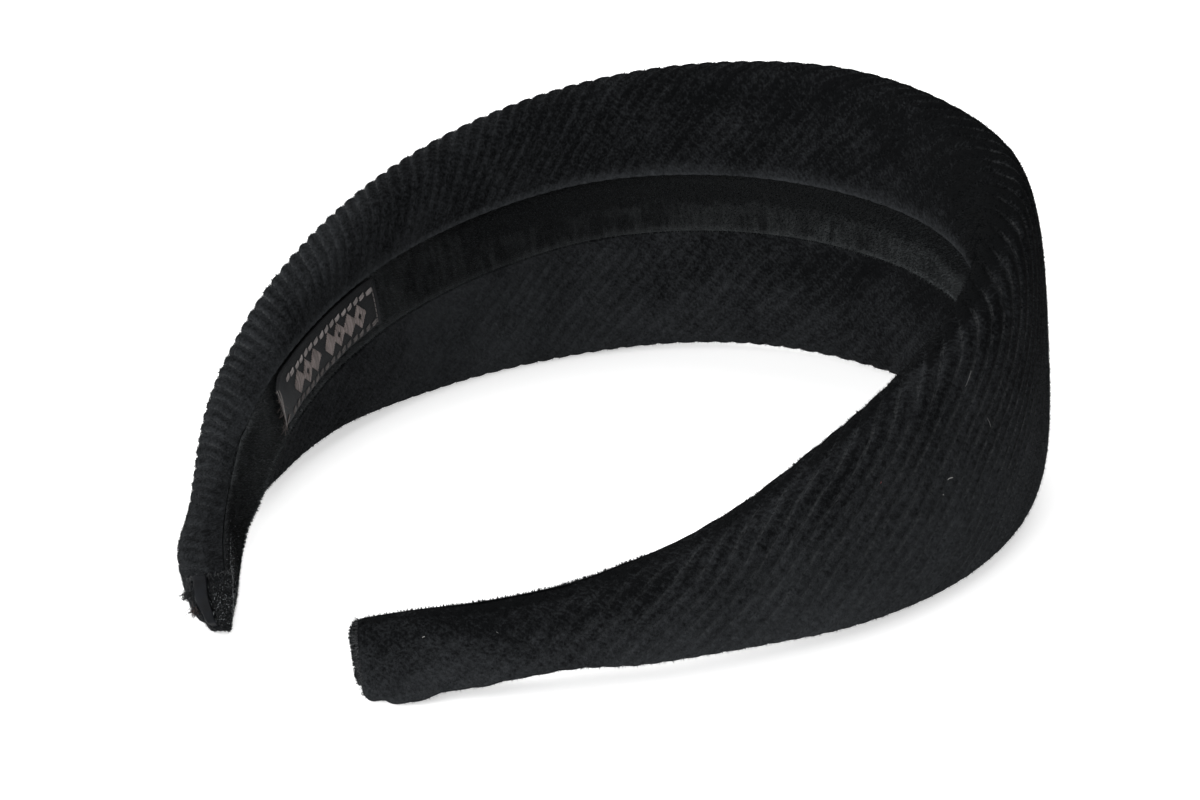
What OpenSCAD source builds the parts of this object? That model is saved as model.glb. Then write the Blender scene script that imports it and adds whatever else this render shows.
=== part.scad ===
// Wide padded headband covered in ribbed cloth, lying on its side.
// The band is an open arch whose middle line lies in one plane. Along that line
// a section is lofted from tip to tip: crowned outside, flatter inside, with the
// cover turned over both long edges. A ribbon lies in the channel between the
// two turned-over edges, and a label lies on the ribbon near one tip.

/* [Band] */
// Length of the band along its middle line, tip to tip
band_length = 380; // [340:1:420]
// Angle that each half turns through, from the crown to its tip
half_turn = 137.5; // [128:0.5:146]
// Width of the band at the crown, edge to edge
crown_width = 55; // [42:0.5:68]
// Width of the tips
tip_width = 11.4; // [10:0.1:16]
// Thickness of the pad at the crown
crown_thickness = 10.3; // [8:0.1:13]
// Thickness of the tips
tip_thickness = 7; // [6:0.1:9]
// Radius that rounds the corners of each tip's end
end_radius = 1.4; // [0.8:0.1:2.2]

/* [Turned-over cover] */
// Height of the upper folded edge above the channel, at its highest
upper_fold = 2.4; // [1.6:0.1:3]
// Height of the lower folded edge above the channel, at its highest
lower_fold = 1.5; // [1.2:0.1:2.2]

/* [Ribbon] */
// Width of the ribbon in the channel
ribbon_width = 10.6; // [8:0.1:13]
// Thickness of the ribbon with its pile
ribbon_thickness = 1; // [0.6:0.1:1.4]
// How far the ribbon wanders from the band's middle, at the most
ribbon_shift = 3.9; // [0:0.1:6]
// How far the ribbon covers the end of each tip, from its own face
ribbon_end = 3.3; // [2.4:0.1:3.5]

/* [Label] */
// Length of the label
label_length = 35; // [20:1:60]
// Height of the label
label_height = 8.4; // [5:0.1:9]
// Thickness of the label, a folded woven tape
label_thickness = 0.8; // [0.4:0.1:1.2]
// Distance from the far tip to the label, along the band's middle line
label_from_tip = 56; // [35:1:90]

/* [Stiff inner band, where its end shows] */
// Width of the stiff band
stiffener_width = 8; // [5:0.1:8.4]
// Thickness of the stiff band
stiffener_thickness = 1.8; // [1:0.1:2.2]
// Length of the piece, most of it inside the tip
stiffener_length = 12; // [6:1:24]
// How far its end stands out of the tip
stiffener_out = 0.9; // [0.3:0.1:1.4]

/* [Fit] */
// Clearance between pieces that lie on each other
gap = 0.2; // [0.1:0.05:0.3]

/* [Hidden] */

half_length = band_length / 2;

// The band's form along one half, from the crown (0) to the tip (1).
// width: share of the way from the tip's width to the crown's
// thick: the same for the thickness; the arms are padded fuller than the crown
// bend: how sharply the middle line turns, as a share of its turn at the crown
// shift: where the ribbon lies above the middle, as a share of ribbon_shift
// fold: height of the folded edges, as a share of upper_fold and lower_fold
ALONG = 0;
WIDTH = 1;
THICK = 2;
BEND = 3;
SHIFT = 4;
FOLD = 5;
FORM = [
    // along  width  thick  bend   shift  fold
    [0.00,    1.00,  1.00,  1.000, 0.55,  0.80],
    [0.15,    0.94,  1.20,  1.130, 0.75,  0.85],
    [0.30,    0.85,  1.20,  0.940, 1.00,  1.00],
    [0.45,    0.68,  1.36,  0.770, 1.00,  1.00],
    [0.60,    0.41,  1.36,  0.655, 0.85,  1.00],
    [0.70,    0.20,  1.10,  0.565, 0.60,  0.90],
    [0.85,    0.00,  0.62,  0.480, 0.05,  0.60],
    [1.00,    0.00,  0.00,  0.180, 0.00,  0.55]
];

// Exponents of the section's curves: 2 is an ellipse, more is squarer
OUTER_SQUARE = 2.9;
OUTER_SQUARE_TIP = 4;
INNER_SQUARE = 4;
// The end's rounding is flatter through the thickness than across the width
END_FLAT = 0.6;
// Smallest height of a folded edge, where the turnover runs out at the tips
LEAST_FOLD = 0.3;
// Cover left beside the channel at the tips
LEAST_EDGE = 0.3;
// A folded edge bulges over the channel by this share of its radius
LIP_BULGE = 0.5;
// Rounding of a strip's edges, as a share of its thickness
STRIP_ROUND = 0.3;

// Numbers of sections along one half and of points in a section
MID_STEPS = 120;
BAND_STEPS = 42;
END_STEPS = 3;
END_TURN = 75;
OUTER_POINTS = 20;
TURN_POINTS = 5;
LIP_POINTS = 3;
FOLD_STEPS = 4;
LABEL_STEPS = 9;

// A smooth curve through one column of FORM, level at both ends
function row_before(s, i = 0) =
    (i >= len(FORM) - 2 || s <= FORM[i + 1][ALONG]) ? i : row_before(s, i + 1);
function rise(i, col) =
    (FORM[i + 1][col] - FORM[i][col]) / (FORM[i + 1][ALONG] - FORM[i][ALONG]);
function slope(i, col) =
    (i == 0 || i == len(FORM) - 1) ? 0
    : rise(i - 1, col) * rise(i, col) <= 0 ? 0
    : 2 * rise(i - 1, col) * rise(i, col) / (rise(i - 1, col) + rise(i, col));
function form(s, col) =
    let (
        i = row_before(s),
        step = FORM[i + 1][ALONG] - FORM[i][ALONG],
        u = min(1, max(0, (s - FORM[i][ALONG]) / step)),
        v = 1 - u
    )
    FORM[i][col] * v * v * (1 + 2 * u) + FORM[i + 1][col] * u * u * (1 + 2 * v)
    + slope(i, col) * step * u * v * v - slope(i + 1, col) * step * v * u * u;

// The middle line of one half: the bends added up, and the steps along it
bend_sum = [
    for (i = 0, sum = 0;
         i <= MID_STEPS;
         i = i + 1,
         sum = sum + (form((i - 1) / MID_STEPS, BEND) + form(i / MID_STEPS, BEND)) / 2)
    sum
];
function turned_at(i) = half_turn * bend_sum[min(i, MID_STEPS)] / bend_sum[MID_STEPS];
mid_step = half_length / MID_STEPS;
mid_line = [
    for (i = 0, x = 0, y = 0;
         i <= MID_STEPS;
         i = i + 1,
         x = x + mid_step * cos((turned_at(i - 1) + turned_at(i)) / 2),
         y = y - mid_step * sin((turned_at(i - 1) + turned_at(i)) / 2))
    [i / MID_STEPS, x, y, turned_at(i)]
];
MID_X = [for (row = mid_line) [row[0], row[1]]];
MID_Y = [for (row = mid_line) [row[0], row[2]]];
MID_ANGLE = [for (row = mid_line) [row[0], row[3]]];

// A point of the band. s is the share along a half: -1 at the far tip, 0 at the
// crown, 1 at the near tip. out is the distance outwards from the middle line,
// up the distance above its plane, and past the distance beyond the tip.
function place(s, out, up, past = 0) =
    let (
        side = s < 0 ? -1 : 1,
        x = lookup(abs(s), MID_X),
        y = lookup(abs(s), MID_Y),
        a = lookup(abs(s), MID_ANGLE)
    )
    [side * (x + out * sin(a) + past * cos(a)), y + out * cos(a) - past * sin(a), up];

// Half sizes of the section, drawn in where the tip's end is rounded
end_share = end_radius / half_length;
function end_inset(s) =
    let (run = 1 - min(1, (1 - abs(s)) / end_share))
    end_radius * (1 - sqrt(1 - run * run));
function half_width(s) =
    (tip_width + (crown_width - tip_width) * form(abs(s), WIDTH)) / 2 - end_inset(s);
function half_thick(s) =
    (tip_thickness + (crown_thickness - tip_thickness) * form(abs(s), THICK)) / 2
    - END_FLAT * end_inset(s);

// The section's two curves, by the angle above the outward or inward direction
function squared(c, square) = sign(c) * pow(abs(c), 2 / square);
function outer_point(s, a) =
    let (square = OUTER_SQUARE_TIP + (OUTER_SQUARE - OUTER_SQUARE_TIP) * form(abs(s), WIDTH))
    [half_thick(s) * squared(cos(a), square), half_width(s) * squared(sin(a), square)];
function inner_point(s, a) =
    [-half_thick(s) * squared(cos(a), INNER_SQUARE), half_width(s) * squared(sin(a), INNER_SQUARE)];
function inner_angle(s, up) =
    asin(sign(up) * pow(abs(up) / half_width(s), INNER_SQUARE / 2));

// The channel's edges above and below, and its floor between them
channel_half = ribbon_width / 2 + gap;
function channel_middle(s) = ribbon_shift * form(abs(s), SHIFT);
function channel_top(s) = min(channel_middle(s) + channel_half, half_width(s) - LEAST_EDGE);
function channel_foot(s) = max(channel_middle(s) - channel_half, LEAST_EDGE - half_width(s));
function floor_beside(s, up, fold) =
    max(fold * form(abs(s), FOLD) - half_thick(s),
        inner_point(s, inner_angle(s, up))[0] + LEAST_FOLD);
function floor_top(s) = floor_beside(s, channel_top(s), upper_fold);
function floor_foot(s) = floor_beside(s, channel_foot(s), lower_fold);
function floor_at(s, up) =
    floor_foot(s) + (floor_top(s) - floor_foot(s))
    * (up - channel_foot(s)) / (channel_top(s) - channel_foot(s));

// A folded edge: half a round from the cover's face down to the channel's floor,
// which it overhangs. side is 1 above the channel and -1 below it.
function lip_root(s, edge, side) =
    edge + side * min(
        LIP_BULGE * (floor_at(s, edge) - inner_point(s, inner_angle(s, edge))[0]) / 2,
        (half_width(s) - abs(edge)) / 2
    );
function lip(s, edge, side) =
    let (
        root = lip_root(s, edge, side),
        face_out = inner_point(s, inner_angle(s, root))[0],
        floor_out = floor_at(s, root)
    )
    [for (i = [1 : LIP_POINTS])
        let (a = 180 * i / LIP_POINTS)
        [face_out + (floor_out - face_out) * (1 - cos(a)) / 2,
         root + (edge - root) * sin(a)]];

// One section, from the lower edge over the outside to the upper edge, and back
// over the upper turnover, the channel and the lower turnover
function band_ring(s) =
    let (
        top_angle = inner_angle(s, lip_root(s, channel_top(s), 1)),
        foot_angle = inner_angle(s, lip_root(s, channel_foot(s), -1)),
        foot_lip = lip(s, channel_foot(s), -1),
        outside = [for (i = [0 : OUTER_POINTS]) outer_point(s, 180 * i / OUTER_POINTS - 90)],
        above = [for (i = [1 : TURN_POINTS])
            inner_point(s, 90 - (90 - top_angle) * i / TURN_POINTS)],
        channel = concat(
            lip(s, channel_top(s), 1),
            [for (i = [LIP_POINTS - 1 : -1 : 0]) foot_lip[i]]
        ),
        below = [for (i = [0 : TURN_POINTS - 1])
            inner_point(s, foot_angle - (90 + foot_angle) * i / TURN_POINTS)]
    )
    [for (p = concat(outside, above, channel, below)) place(s, p[0], p[1])];

// Shares along one half at which sections stand, closer where the end is rounded
long_shares = [for (i = [1 : BAND_STEPS]) (1 - end_share) * i / BAND_STEPS];
half_shares = concat(
    long_shares,
    [for (i = [1 : END_STEPS]) 1 - end_share * (1 - sin(END_TURN * i / END_STEPS))]
);
function both_halves(shares) = concat(
    [for (i = [len(shares) - 1 : -1 : 0]) -shares[i]],
    [0],
    shares
);
band_rings = [for (s = both_halves(half_shares)) band_ring(s)];
last_share = 1 - end_share * (1 - sin(END_TURN));

// A strip's outline, as heights above what it lies on and distances up the band
function strip_outline(foot, top, low, high) =
    let (r = STRIP_ROUND * (high - low))
    [[low, foot + r], [low, top - r], [low + r, top], [high - r, top],
     [high, top - r], [high, foot + r], [high - r, foot], [low + r, foot]];

// The ribbon lies on the channel's floor and turns over the end of each tip
// about an inner radius, through a right angle
ribbon_low = gap;
ribbon_high = gap + ribbon_thickness;
turn_radius = end_radius / 2;
turn_share = 1 - turn_radius / half_length;
turn_floor = floor_at(1 - end_share, 0);
function ribbon_outline(s) =
    strip_outline(channel_foot(s) + gap, channel_top(s) - gap, ribbon_low, ribbon_high);
function ribbon_ring(s) = [
    for (p = ribbon_outline(s)) place(s, floor_at(s, p[1]) - p[0], p[1])
];
function turning_ring(side, angle, slide = 0) = [
    for (p = ribbon_outline(turn_share + (last_share - turn_share) * angle / 90))
        place(
            side,
            turn_floor + turn_radius - (turn_radius + p[0]) * cos(angle) + slide,
            p[1],
            (turn_radius + p[0]) * sin(angle) - turn_radius
        )
];
ribbon_slide = ribbon_end - ribbon_high - turn_radius;
function ribbon_tail(side) = concat(
    [for (i = [0 : FOLD_STEPS]) turning_ring(side, 90 * i / FOLD_STEPS)],
    [turning_ring(side, 90, ribbon_slide)]
);
near_tail = ribbon_tail(1);
far_tail = ribbon_tail(-1);
ribbon_rings = concat(
    [for (i = [len(far_tail) - 1 : -1 : 0]) far_tail[i]],
    [for (s = both_halves(long_shares)) ribbon_ring(s)],
    near_tail
);

// The label lies on the ribbon of the far half
label_low = ribbon_high + gap;
label_start = label_from_tip / half_length - 1;
label_share = label_length / half_length;
function label_ring(s) =
    let (
        middle = (channel_top(s) + channel_foot(s)) / 2,
        outline = strip_outline(
            middle - label_height / 2, middle + label_height / 2,
            label_low, label_low + label_thickness)
    )
    [for (p = outline) place(s, floor_at(s, p[1]) - p[0], p[1])];
label_rings = [
    for (i = [0 : LABEL_STEPS]) label_ring(label_start + label_share * i / LABEL_STEPS)
];

// The stiff band's end lies between the ribbon's turned end and the outer cover
ribbon_edge = turn_floor - ribbon_high + ribbon_end;
stiffener_middle = ribbon_edge + gap + stiffener_thickness / 2;
function stiffener_ring(past, grow) =
    let (
        low = stiffener_middle - stiffener_thickness / 2 - grow,
        high = stiffener_middle + stiffener_thickness / 2 + grow,
        half = stiffener_width / 2 + grow
    )
    [for (p = strip_outline(-half, half, low, high)) place(-1, p[0], p[1], past)];
stiffener_rings = [
    stiffener_ring(stiffener_out - stiffener_length, 0),
    stiffener_ring(stiffener_out, 0)
];
slot_rings = [
    stiffener_ring(stiffener_out - stiffener_length - gap, gap),
    stiffener_ring(stiffener_out, gap)
];

// Rest: the band lies on its two tips and on the crown's lower edge. Of all lines
// from a low point of the tips to one of the crown, the lowest carries the band.
low_points = [
    for (s = concat([0], half_shares))
        let (p = place(s, 0, -half_width(s)))
        [p[1], p[2]]
];
flat_middle = (low_points[0][0] + low_points[len(low_points) - 1][0]) / 2;
tip_low = [for (p = low_points) if (p[0] < flat_middle) p];
crown_low = [for (p = low_points) if (p[0] >= flat_middle) p];
carrying_lines = [
    for (a = tip_low, b = crown_low)
        let (steep = (b[1] - a[1]) / (b[0] - a[0]))
        [a[1] + steep * (flat_middle - a[0]), steep]
];
lowest = min([for (line = carrying_lines) line[0]]);
tilt = -atan([for (line = carrying_lines) if (line[0] == lowest) line[1]][0]);

// The origin is under the middle of the box round all that is built
all_points = [for (ring = concat(band_rings, ribbon_rings, stiffener_rings), p = ring) p];
tilted_y = [for (p = all_points) p[1] * cos(tilt) - p[2] * sin(tilt)];
tilted_z = [for (p = all_points) p[1] * sin(tilt) + p[2] * cos(tilt)];
middle_y = (min(tilted_y) + max(tilted_y)) / 2;
floor_z = min(tilted_z);

module resting() {
    translate([0, -middle_y, -floor_z])
        rotate([tilt, 0, 0])
            children();
}

// A solid through rings of equal numbers of points, closed by flat ends
module loft(rings) {
    n = len(rings[0]);
    last = len(rings) - 1;
    polyhedron(
        points = [for (ring = rings, p = ring) p],
        faces = concat(
            [[for (i = [0 : n - 1]) i]],
            [for (j = [0 : last - 1], i = [0 : n - 1])
                [j * n + i, (j + 1) * n + i, (j + 1) * n + (i + 1) % n, j * n + (i + 1) % n]],
            [[for (i = [n - 1 : -1 : 0]) last * n + i]]
        ),
        convexity = 10
    );
}

module padded_band() {
    color([0.11, 0.115, 0.125])
        resting()
            difference() {
                loft(band_rings);
                loft(slot_rings);
            }
}

module lining_ribbon() {
    color([0.08, 0.08, 0.085])
        resting()
            loft(ribbon_rings);
}

module woven_label() {
    color([0.2, 0.19, 0.18])
        resting()
            loft(label_rings);
}

module stiffener_end() {
    color([0.3, 0.34, 0.38])
        resting()
            loft(stiffener_rings);
}

padded_band();
lining_ribbon();
woven_label();
stiffener_end();
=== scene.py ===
import math

import bmesh
import bpy
import numpy as np
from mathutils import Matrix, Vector


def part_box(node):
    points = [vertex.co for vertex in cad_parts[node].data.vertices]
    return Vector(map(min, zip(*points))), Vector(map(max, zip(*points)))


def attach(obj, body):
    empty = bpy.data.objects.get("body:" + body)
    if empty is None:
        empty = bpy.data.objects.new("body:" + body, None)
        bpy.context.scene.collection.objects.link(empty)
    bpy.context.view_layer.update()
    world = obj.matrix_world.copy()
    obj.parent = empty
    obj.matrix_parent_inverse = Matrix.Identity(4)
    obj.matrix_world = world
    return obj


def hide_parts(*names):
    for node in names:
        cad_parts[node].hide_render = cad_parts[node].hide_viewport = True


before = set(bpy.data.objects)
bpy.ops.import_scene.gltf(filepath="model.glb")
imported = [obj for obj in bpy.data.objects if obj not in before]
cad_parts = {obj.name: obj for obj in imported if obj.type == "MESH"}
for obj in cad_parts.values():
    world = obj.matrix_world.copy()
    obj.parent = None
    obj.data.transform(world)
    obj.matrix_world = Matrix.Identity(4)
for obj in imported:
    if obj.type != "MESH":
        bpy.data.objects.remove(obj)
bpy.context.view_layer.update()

# The padded band: foam on a stiff sprung arch, covered in black corduroy cut on the
# bias, so that its ribs run slanting. The cover is wrapped round both long edges and
# folded under on the inside, where the two folds leave a channel for the ribbon.

# Sizes in millimetres, as in the source of the solids
HALF_LENGTH = 190
HALF_TURN = 137.5
CROWN_WIDTH, TIP_WIDTH = 55, 11.4
CROWN_THICKNESS, TIP_THICKNESS = 10.3, 7
END_RADIUS, END_FLAT, END_TURN = 1.4, 0.6, 75
UPPER_FOLD, LOWER_FOLD = 2.4, 1.5
RIBBON_WIDTH, RIBBON_THICKNESS, RIBBON_SHIFT, RIBBON_END = 10.6, 1, 3.9, 3.3
GAP = 0.2
REST_TILT = 9.34
ALONG, WIDTH, THICK, BEND, SHIFT, FOLD = range(6)
FORM = np.array([
    [0.00, 1.00, 1.00, 1.000, 0.55, 0.80],
    [0.15, 0.94, 1.20, 1.130, 0.75, 0.85],
    [0.30, 0.85, 1.20, 0.940, 1.00, 1.00],
    [0.45, 0.68, 1.36, 0.770, 1.00, 1.00],
    [0.60, 0.41, 1.36, 0.655, 0.85, 1.00],
    [0.70, 0.20, 1.10, 0.565, 0.60, 0.90],
    [0.85, 0.00, 0.62, 0.480, 0.05, 0.60],
    [1.00, 0.00, 0.00, 0.180, 0.00, 0.55],
])
OUTER_SQUARE, OUTER_SQUARE_TIP, INNER_SQUARE = 2.9, 4, 4
LEAST_FOLD, LEAST_EDGE, LIP_BULGE = 0.3, 0.3, 0.5


def form(share, column):
    """The smooth curve through one column of FORM, level at both ends."""
    at, value = FORM[:, ALONG], FORM[:, column]
    rise = np.diff(value) / np.diff(at)
    slope = np.zeros(len(at))
    for i in range(1, len(at) - 1):
        if rise[i - 1] * rise[i] > 0:
            slope[i] = 2 * rise[i - 1] * rise[i] / (rise[i - 1] + rise[i])
    share = np.abs(share)
    i = np.clip(np.searchsorted(at, share) - 1, 0, len(at) - 2)
    step = at[i + 1] - at[i]
    u = np.clip((share - at[i]) / step, 0, 1)
    v = 1 - u
    return (value[i] * v * v * (1 + 2 * u) + value[i + 1] * u * u * (1 + 2 * v)
            + step * u * v * (slope[i] * v - slope[i + 1] * u))


line_share = np.linspace(0, 1, 761)
line_bend = form(line_share, BEND)
line_turn = np.r_[0, np.cumsum(line_bend[1:] + line_bend[:-1])]
line_turn *= math.radians(HALF_TURN) / line_turn[-1]
line_middle = (line_turn[1:] + line_turn[:-1]) / 2
line_x = np.r_[0, np.cumsum(np.cos(line_middle))] * HALF_LENGTH / 760
line_y = -np.r_[0, np.cumsum(np.sin(line_middle))] * HALF_LENGTH / 760
REST_SHIFT = np.zeros(3)


def plain_place(share, out, up, past=0):
    """Points of the resting band: share is -1 at the far tip and 1 at the near one, out is
    the distance outwards from the middle line, up the height above its plane."""
    side = np.where(np.asarray(share) < 0, -1, 1)
    near = np.abs(share)
    turn = np.interp(near, line_share, line_turn)
    x = side * (np.interp(near, line_share, line_x) + out * np.sin(turn) + past * np.cos(turn))
    y = np.interp(near, line_share, line_y) + out * np.cos(turn) - past * np.sin(turn)
    c, s = math.cos(math.radians(REST_TILT)), math.sin(math.radians(REST_TILT))
    return np.stack([x, y * c - up * s, y * s + up * c], -1) * 0.001 + REST_SHIFT


end_share = END_RADIUS / HALF_LENGTH
last_share = 1 - end_share * (1 - math.sin(math.radians(END_TURN)))


def end_inset(share):
    run = 1 - np.minimum(1, (1 - np.abs(share)) / end_share)
    return END_RADIUS * (1 - np.sqrt(1 - run * run))


def half_width(share):
    return (TIP_WIDTH + (CROWN_WIDTH - TIP_WIDTH) * form(share, WIDTH)) / 2 - end_inset(share)


def half_thick(share):
    return ((TIP_THICKNESS + (CROWN_THICKNESS - TIP_THICKNESS) * form(share, THICK)) / 2
            - END_FLAT * end_inset(share))


def squared(c, square):
    return np.sign(c) * np.abs(c) ** (2 / square)


def inner_face(share, up):
    """Distance outwards of the inside face at a height."""
    part = np.clip(np.abs(up) / half_width(share), 0, 1) ** (INNER_SQUARE / 2)
    return -half_thick(share) * (1 - part * part) ** (1 / INNER_SQUARE)


def channel_edge(share, side):
    """Height of the folded edge above (side 1) or below (side -1) the ribbon."""
    edge = side * RIBBON_SHIFT * form(share, SHIFT) + RIBBON_WIDTH / 2 + GAP
    return side * np.minimum(edge, half_width(share) - LEAST_EDGE)


def floor_beside(share, side):
    fold = (UPPER_FOLD if side > 0 else LOWER_FOLD) * form(share, FOLD)
    beside = inner_face(share, channel_edge(share, side))
    return np.maximum(fold - half_thick(share), beside + LEAST_FOLD)


def channel_floor(share, up):
    foot, top = channel_edge(share, -1), channel_edge(share, 1)
    low, high = floor_beside(share, -1), floor_beside(share, 1)
    return low + (high - low) * (up - foot) / (top - foot)


def lip_root(share, side):
    edge = channel_edge(share, side)
    deep = (channel_floor(share, edge) - inner_face(share, edge)) / 2
    return edge + side * np.minimum(LIP_BULGE * deep, (half_width(share) - np.abs(edge)) / 2)


def cover_path(share, steps=(13, 25, 121)):
    """The cover's line round each section, from the lower fold's root on the channel's floor
    over the outside to the upper fold's root: distances outwards, heights, outer middle."""
    share = share[:, None]
    wide, thick = half_width(share), half_thick(share)
    parts = []
    for side in (-1, 1):
        edge, root = channel_edge(share, side), lip_root(share, side)
        face, floor = inner_face(share, root), channel_floor(share, root)
        turn = np.linspace(0, math.pi, steps[0])
        fold = (face + (floor - face) * (1 - np.cos(turn)) / 2,
                root + (edge - root) * np.sin(turn))
        start = np.arcsin(np.clip(np.abs(root) / wide, 0, 1) ** (INNER_SQUARE / 2) * np.sign(root))
        turn = start + (side * math.pi / 2 - start) * np.linspace(0, 1, steps[1])
        inside = (-thick * squared(np.cos(turn), INNER_SQUARE),
                  wide * squared(np.sin(turn), INNER_SQUARE))
        parts.append((fold, inside))
    square = OUTER_SQUARE_TIP + (OUTER_SQUARE - OUTER_SQUARE_TIP) * form(share, WIDTH)
    turn = np.linspace(-math.pi / 2, math.pi / 2, steps[2])
    outside = (thick * squared(np.cos(turn), square), wide * squared(np.sin(turn), square))
    (low_fold, low_inside), (high_fold, high_inside) = parts
    return [np.concatenate([low_fold[i][:, :0:-1], low_inside[i][:, :-1], outside[i],
                            high_inside[i][:, -2::-1], high_fold[i][:, 1:]], axis=1)
            for i in (0, 1)] + [steps[0] - 1 + steps[1] - 1 + steps[2] // 2]


half_stations = np.r_[np.linspace(0, 1 - end_share, 191),
                      1 - end_share * (1 - np.sin(np.radians([15, 30, 45, 60, END_TURN])))]
stations = np.r_[-half_stations[:0:-1], half_stations]
path_out, path_up, outer_middle = cover_path(stations)
flat = plain_place(stations[:, None], path_out, path_up).reshape(-1, 3)
low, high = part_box("padded_band")
REST_SHIFT = np.array([0, (low.y + high.y - flat[:, 1].min() - flat[:, 1].max()) / 2,
                       low.z - flat[:, 2].min()])


def rising(value, low, high):
    """0 below low, 1 above high, straight between."""
    return np.clip((value - low) / (high - low), 0, 1)


def near_to(value, middle, reach):
    return np.exp(-((value - middle) / reach) ** 2)


def bumps(s, *each):
    """The sum of smooth bumps along the band: height, place and reach in millimetres."""
    return sum(height * near_to(s, middle, reach) for height, middle, reach in each)


# What wear has pushed outwards, and then what it has raised
TIP_FLARE, TIP_DRAWN, TIP_INSIDE = (1.2, -180.5, 8), (-2.4, -190.5, 3.2), (1.5, -190, 7)
ARMS_DRAWN, LOW_EDGE_DRAWN = ((-1.4, -158, 13), (-0.3, 50, 14)), (-1.0, 84, 34)
CROWN_SWELL = (1.5, 34, 18), (-0.4, -20, 25)
UPPER_EDGE = (0.5, 110, 20), (0.5, 182, 8), (-0.4, 138, 10)
LOWER_EDGE = (-1.2, -133, 13), (-0.4, -60, 32), (-0.8, 151, 9)
FOLD_SAG, NEAR_END = (-0.5, 0, 55), (-0.45, 190, 4)


def place(share, out, up, past=0):
    """As plain_place, with what wear has done: the crown's upper side is swollen towards the
    near arm, the arms' edges wander, and the far tip is flared above and drawn in below."""
    s = share * HALF_LENGTH
    outer, below = np.clip(0.5 + out / 6, 0, 1), np.clip(0.5 - up / 9, 0, 1) ** 1.5
    high, deep = (np.clip(side * up / half_width(share), 0, 1) for side in (1, -1))
    moved = outer * ((1 - below) * bumps(s, TIP_FLARE) + below ** 2 * bumps(s, TIP_DRAWN)
                     + bumps(s, *ARMS_DRAWN) + high * bumps(s, *CROWN_SWELL)
                     + deep * bumps(s, LOW_EDGE_DRAWN))
    moved = moved + (1 - outer) * below * bumps(s, TIP_INSIDE)
    upper_fold = near_to(up - channel_edge(share, 1), 0, 1.6) * (1 - outer)
    raised = (high * bumps(s, *UPPER_EDGE) + deep * bumps(s, *LOWER_EDGE)
              + upper_fold * bumps(s, FOLD_SAG))
    return plain_place(share, out + moved, up + raised, past + bumps(s, NEAR_END))


# Rows along the ribs' way round, closer together where the cover turns sharply
ROWS = 74
step_out, step_up = np.diff(path_out), np.diff(path_up)
step_long = np.hypot(step_out, step_up)
way = np.unwrap(np.arctan2(step_up, step_out))
sharp = np.abs(np.diff(way))
sharp = np.pad(sharp, ((0, 0), (1, 0))) / 2 + np.pad(sharp, ((0, 0), (0, 1))) / 2
measure = (step_long / step_long.sum(1, keepdims=True)
           + 0.9 * sharp / sharp.sum(1, keepdims=True))
measure = np.pad(np.cumsum(measure, axis=1), ((0, 0), (1, 0))) / 1.9
round_way = np.pad(np.cumsum(step_long, axis=1), ((0, 0), (1, 0)))
round_way -= round_way[:, outer_middle:outer_middle + 1]


def rows_of(table, count):
    wanted = np.linspace(0, 1, count)
    return np.array([np.interp(wanted, m, row) for m, row in zip(measure, table)])


row_out, row_up, row_way = (rows_of(t, ROWS) for t in (path_out, path_up, round_way))


def in_scene(name, data):
    made = bpy.data.objects.new(name, data)
    bpy.context.scene.collection.objects.link(made)
    return made


def face_outward(mesh):
    shell = bmesh.new()
    shell.from_mesh(mesh)
    bmesh.ops.recalc_face_normals(shell, faces=shell.faces)
    shell.to_mesh(mesh)
    shell.free()


def skin(name, rings):
    """A smooth closed mesh through rings of equal numbers of points."""
    index = np.arange(rings.shape[0] * rings.shape[1]).reshape(rings.shape[:2])
    after = np.roll(index, -1, axis=1)
    quads = np.stack([index[:-1], index[1:], after[1:], after[:-1]], -1).reshape(-1, 4)
    mesh = bpy.data.meshes.new(name)
    mesh.from_pydata(rings.reshape(-1, 3).tolist(), [],
                     quads.tolist() + [index[0].tolist(), index[-1][::-1].tolist()])
    face_outward(mesh)
    mesh.shade_smooth()
    return in_scene(name, mesh)


def points_of(mesh, field="co"):
    found = np.empty(len(mesh.vertices) * 3, np.float32)
    mesh.vertices.foreach_get(field, found)
    return found.reshape(-1, 3)


# The foam swells the cover a little unevenly between the folds, which hold it down. A
# coarse copy of the band, drawn in, is blown up as cloth to find by how much.
PUFF_ROWS, PUFF_STATIONS, PUFF_INSET, PUFF_CAP = 34, 96, 0.35, 0.9
PUFF_PRESSURE, PUFF_MOMENTS, HELD_ROWS = 4, 20, 4
puff_shares = np.linspace(-last_share, last_share, PUFF_STATIONS)
puff = np.zeros((PUFF_STATIONS, PUFF_ROWS, 3))
out, up = (np.array([np.interp(puff_shares, stations, column)
                     for column in rows_of(table, PUFF_ROWS).T]).T
           for table in (path_out, path_up))
full = place(puff_shares[:, None], out, up)
middle = place(puff_shares[:, None], out * 0.5, up * 0.93)
inward = middle - full
inward /= np.linalg.norm(inward, axis=2, keepdims=True)
held = np.ones(PUFF_ROWS)
held[HELD_ROWS:-HELD_ROWS] = 0
drawn = full + inward * 0.001 * PUFF_INSET * (1 - held)[None, :, None]
puffed = skin("puff_cage", drawn)
index = np.arange(PUFF_STATIONS * PUFF_ROWS).reshape(PUFF_STATIONS, PUFF_ROWS)
pinned = puffed.vertex_groups.new(name="held")
pinned.add(index[:, held > 0].ravel().tolist() + index[[0, -1]].ravel().tolist(), 1, "REPLACE")
cloth = puffed.modifiers.new("puff", "CLOTH")
cloth.settings.vertex_group_mass = "held"
cloth.settings.effector_weights.gravity = 0
cloth.settings.quality = 6
cloth.settings.mass = 0.2
cloth.settings.use_pressure = True
cloth.settings.uniform_pressure_force = PUFF_PRESSURE
cloth.settings.shrink_min = -0.004
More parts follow.
